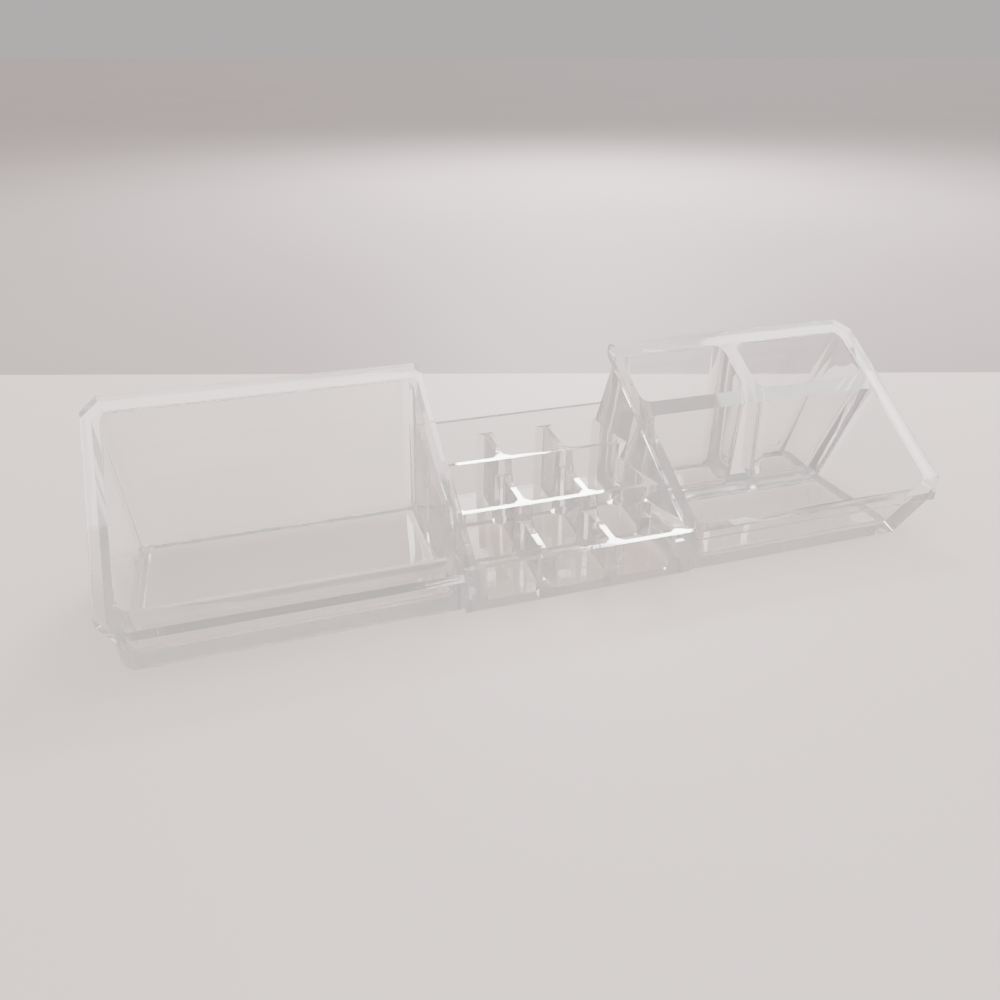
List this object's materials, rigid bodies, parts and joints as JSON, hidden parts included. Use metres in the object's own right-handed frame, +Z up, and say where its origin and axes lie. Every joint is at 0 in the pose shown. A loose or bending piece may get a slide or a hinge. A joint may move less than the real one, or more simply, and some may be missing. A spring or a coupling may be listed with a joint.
{
  "type": "cosmetic organizer",
  "caption": "Clear one-piece cosmetic organizer: sloping trays on both sides of a stepped block of lipstick slots.",
  "frame": {"origin": "middle of the footprint, on the table the base stands on", "axes": "+X along the length, from the deep tray to the divided tray; +Y to the high back; +Z up"},
  "size_m": [0.3066, 0.0794, 0.0588],
  "materials": {
    "clear_plastic": "polished clear"
  },
  "bodies": {
    "root": {"organizer_body": "clear_plastic"}
  },
  "joints": []
}
